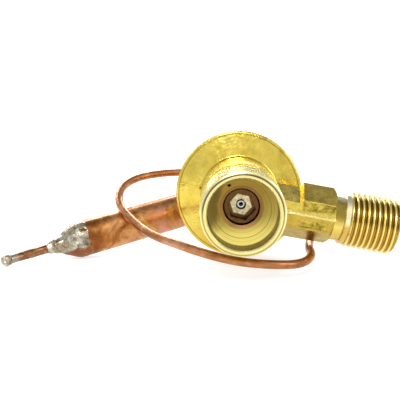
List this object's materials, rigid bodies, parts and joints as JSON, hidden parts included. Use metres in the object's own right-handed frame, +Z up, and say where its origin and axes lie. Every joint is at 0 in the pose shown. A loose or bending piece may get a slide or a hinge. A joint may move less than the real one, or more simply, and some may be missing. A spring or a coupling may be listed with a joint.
{
  "type": "thermostatic expansion valve",
  "caption": "Angle-type refrigerant expansion valve: forged brass body with threaded outlet and inlet arm, diaphragm head, capillary tube and copper sensing bulb",
  "frame": {"origin": "centre of the outlet mouth face, on the main axis of the valve", "axes": "the outlet faces -Y and the diaphragm head lies towards +Y; the inlet arm points to +X and droops 10.2 degrees; +Z is up as the valve lies"},
  "size_m": [0.1132, 0.0617, 0.0378],
  "materials": {
    "brass_forging": "bright forged and machined brass, lightly stained",
    "brass_turned": "turned brass",
    "brass_pressed": "pressed brass sheet",
    "copper_tube": "drawn copper with heat tint",
    "solder": "rough solder",
    "braze": "smooth braze fillet",
    "spring_steel": "drawn wire",
    "stainless": "fine ground",
    "rubber_seal": "moulded rubber"
  },
  "bodies": {
    "housing": {"valve_body": "brass_forging", "seat_bush": "brass_turned", "rod_guide": "brass_turned", "capillary_boss": "brass_turned", "strainer_ring": "brass_turned", "o_ring_retainer": "brass_turned", "upper_cover": "brass_pressed", "capillary_tube": "copper_tube", "bulb_shell": "copper_tube", "charge_tube": "copper_tube", "bulb_end_solder": "solder", "tip_bead": "solder", "rim_braze": "braze", "boss_braze": "braze", "bulb_inlet_solder": "braze", "superheat_spring": "spring_steel", "diaphragm": "stainless", "strainer_screen": "stainless", "rod_o_ring": "rubber_seal"},
    "stem": {"ball_carrier": "brass_turned", "valve_ball": "stainless", "push_rod": "stainless", "thrust_plate": "brass_turned"},
    "adjuster_washer": {"spring_seat": "brass_turned"},
    "adjuster": {"adjusting_screw": "brass_turned"}
  },
  "joints": [
    {"name": "valve_lift", "type": "slide", "parent": "housing", "child": "stem", "axis": [0, -1, 0], "range_m": [0, 0.0008], "stiffness_N_per_m": 400, "springref_m": -0.0004, "deforming": ["superheat_spring", "diaphragm"]},
    {"name": "adjuster_travel", "type": "slide", "parent": "housing", "child": "adjuster_washer", "axis": [0, 1, 0], "range_m": [-0.001, 0.001], "deforming": ["superheat_spring"]},
    {"name": "adjuster_turn", "type": "hinge", "parent": "adjuster_washer", "child": "adjuster", "pos_m": [0, 0.0161, 0], "axis": [0, 1, 0], "range_deg": [-360, 360]}
  ],
  "couplings": [
    {"joint": "adjuster_turn", "follows": "adjuster_travel", "rad_per_m": 6283.2}
  ]
}
